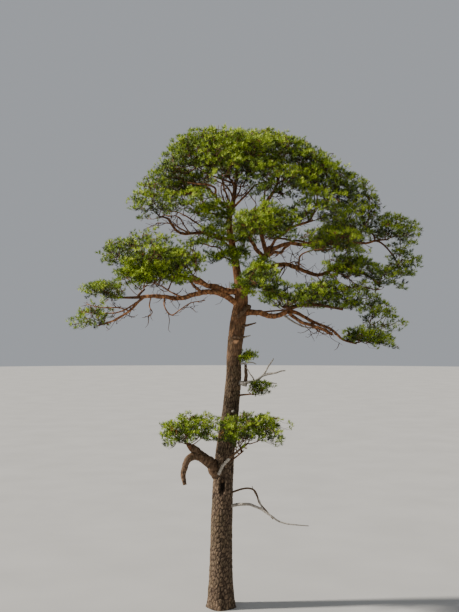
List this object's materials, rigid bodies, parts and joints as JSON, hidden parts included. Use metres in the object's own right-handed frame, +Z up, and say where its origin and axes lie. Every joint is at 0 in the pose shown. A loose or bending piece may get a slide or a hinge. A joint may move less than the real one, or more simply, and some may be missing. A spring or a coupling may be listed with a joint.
{
  "type": "scots pine tree",
  "caption": "Old Scots pine: a tall bare trunk, slightly leaning, that forks below a broad domed crown of separate foliage pads on crooked boughs, with dead limbs lower down.",
  "frame": {"origin": "middle of the trunk's flat cut at ground level", "axes": "+Z up, +X to the right and +Y to the back when the tree is seen from its pictured side"},
  "size_m": [12.0393, 6.8877, 15.9931],
  "materials": {
    "trunk_bark": "rough",
    "bough_bark": "rough",
    "dead_wood": "weathered",
    "needles": "matte"
  },
  "bodies": {
    "root": {"trunk": "trunk_bark", "fork_right": "bough_bark", "bough_right_long": "bough_bark", "bough_right_end": "bough_bark", "bough_crown_right": "bough_bark", "bough_right_up": "bough_bark", "bough_front": "bough_bark", "bough_back_right": "bough_bark", "bough_right_low": "bough_bark", "bough_lower_right": "bough_bark", "bough_lower_right_droop": "bough_bark", "bough_left_upper": "bough_bark", "bough_left_upper_end": "bough_bark", "bough_left_lower": "bough_bark", "bough_left_droop": "bough_bark", "bough_left_crown": "bough_bark", "bough_left_high": "bough_bark", "bough_back_left": "bough_bark", "bough_low_left": "trunk_bark", "dead_limb_low_left": "dead_wood", "dead_limb_low_right": "dead_wood", "dead_limb_lower_right": "dead_wood", "dead_snag": "dead_wood", "foliage_top_left": "needles", "foliage_top_front": "needles", "foliage_top_back": "needles", "foliage_top_right": "needles", "foliage_right_shoulder": "needles", "foliage_right_flank": "needles", "foliage_heart_right": "needles", "foliage_left_shoulder": "needles", "foliage_left_tip": "needles", "foliage_left_inner": "needles", "foliage_centre_front": "needles", "foliage_right_inner": "needles", "foliage_right_mid": "needles", "foliage_right_mid_low": "needles", "foliage_right_tip": "needles", "foliage_right_tip_low": "needles", "foliage_right_low": "needles", "foliage_right_low_outer": "needles", "foliage_fork_front": "needles", "foliage_fork_low": "needles", "foliage_left_mid_outer": "needles", "foliage_left_mid": "needles", "foliage_left_mid_inner": "needles", "foliage_left_low_mid": "needles", "foliage_left_low_outer": "needles", "foliage_left_droop": "needles", "foliage_lower_right_inner": "needles", "foliage_lower_right_mid": "needles", "foliage_lower_right_outer": "needles", "foliage_lower_right_droop": "needles", "foliage_low_left": "needles", "foliage_low_right": "needles", "foliage_snag": "needles", "foliage_back_left": "needles", "foliage_back_centre": "needles", "foliage_back_right": "needles", "foliage_back_low": "needles"}
  },
  "joints": []
}
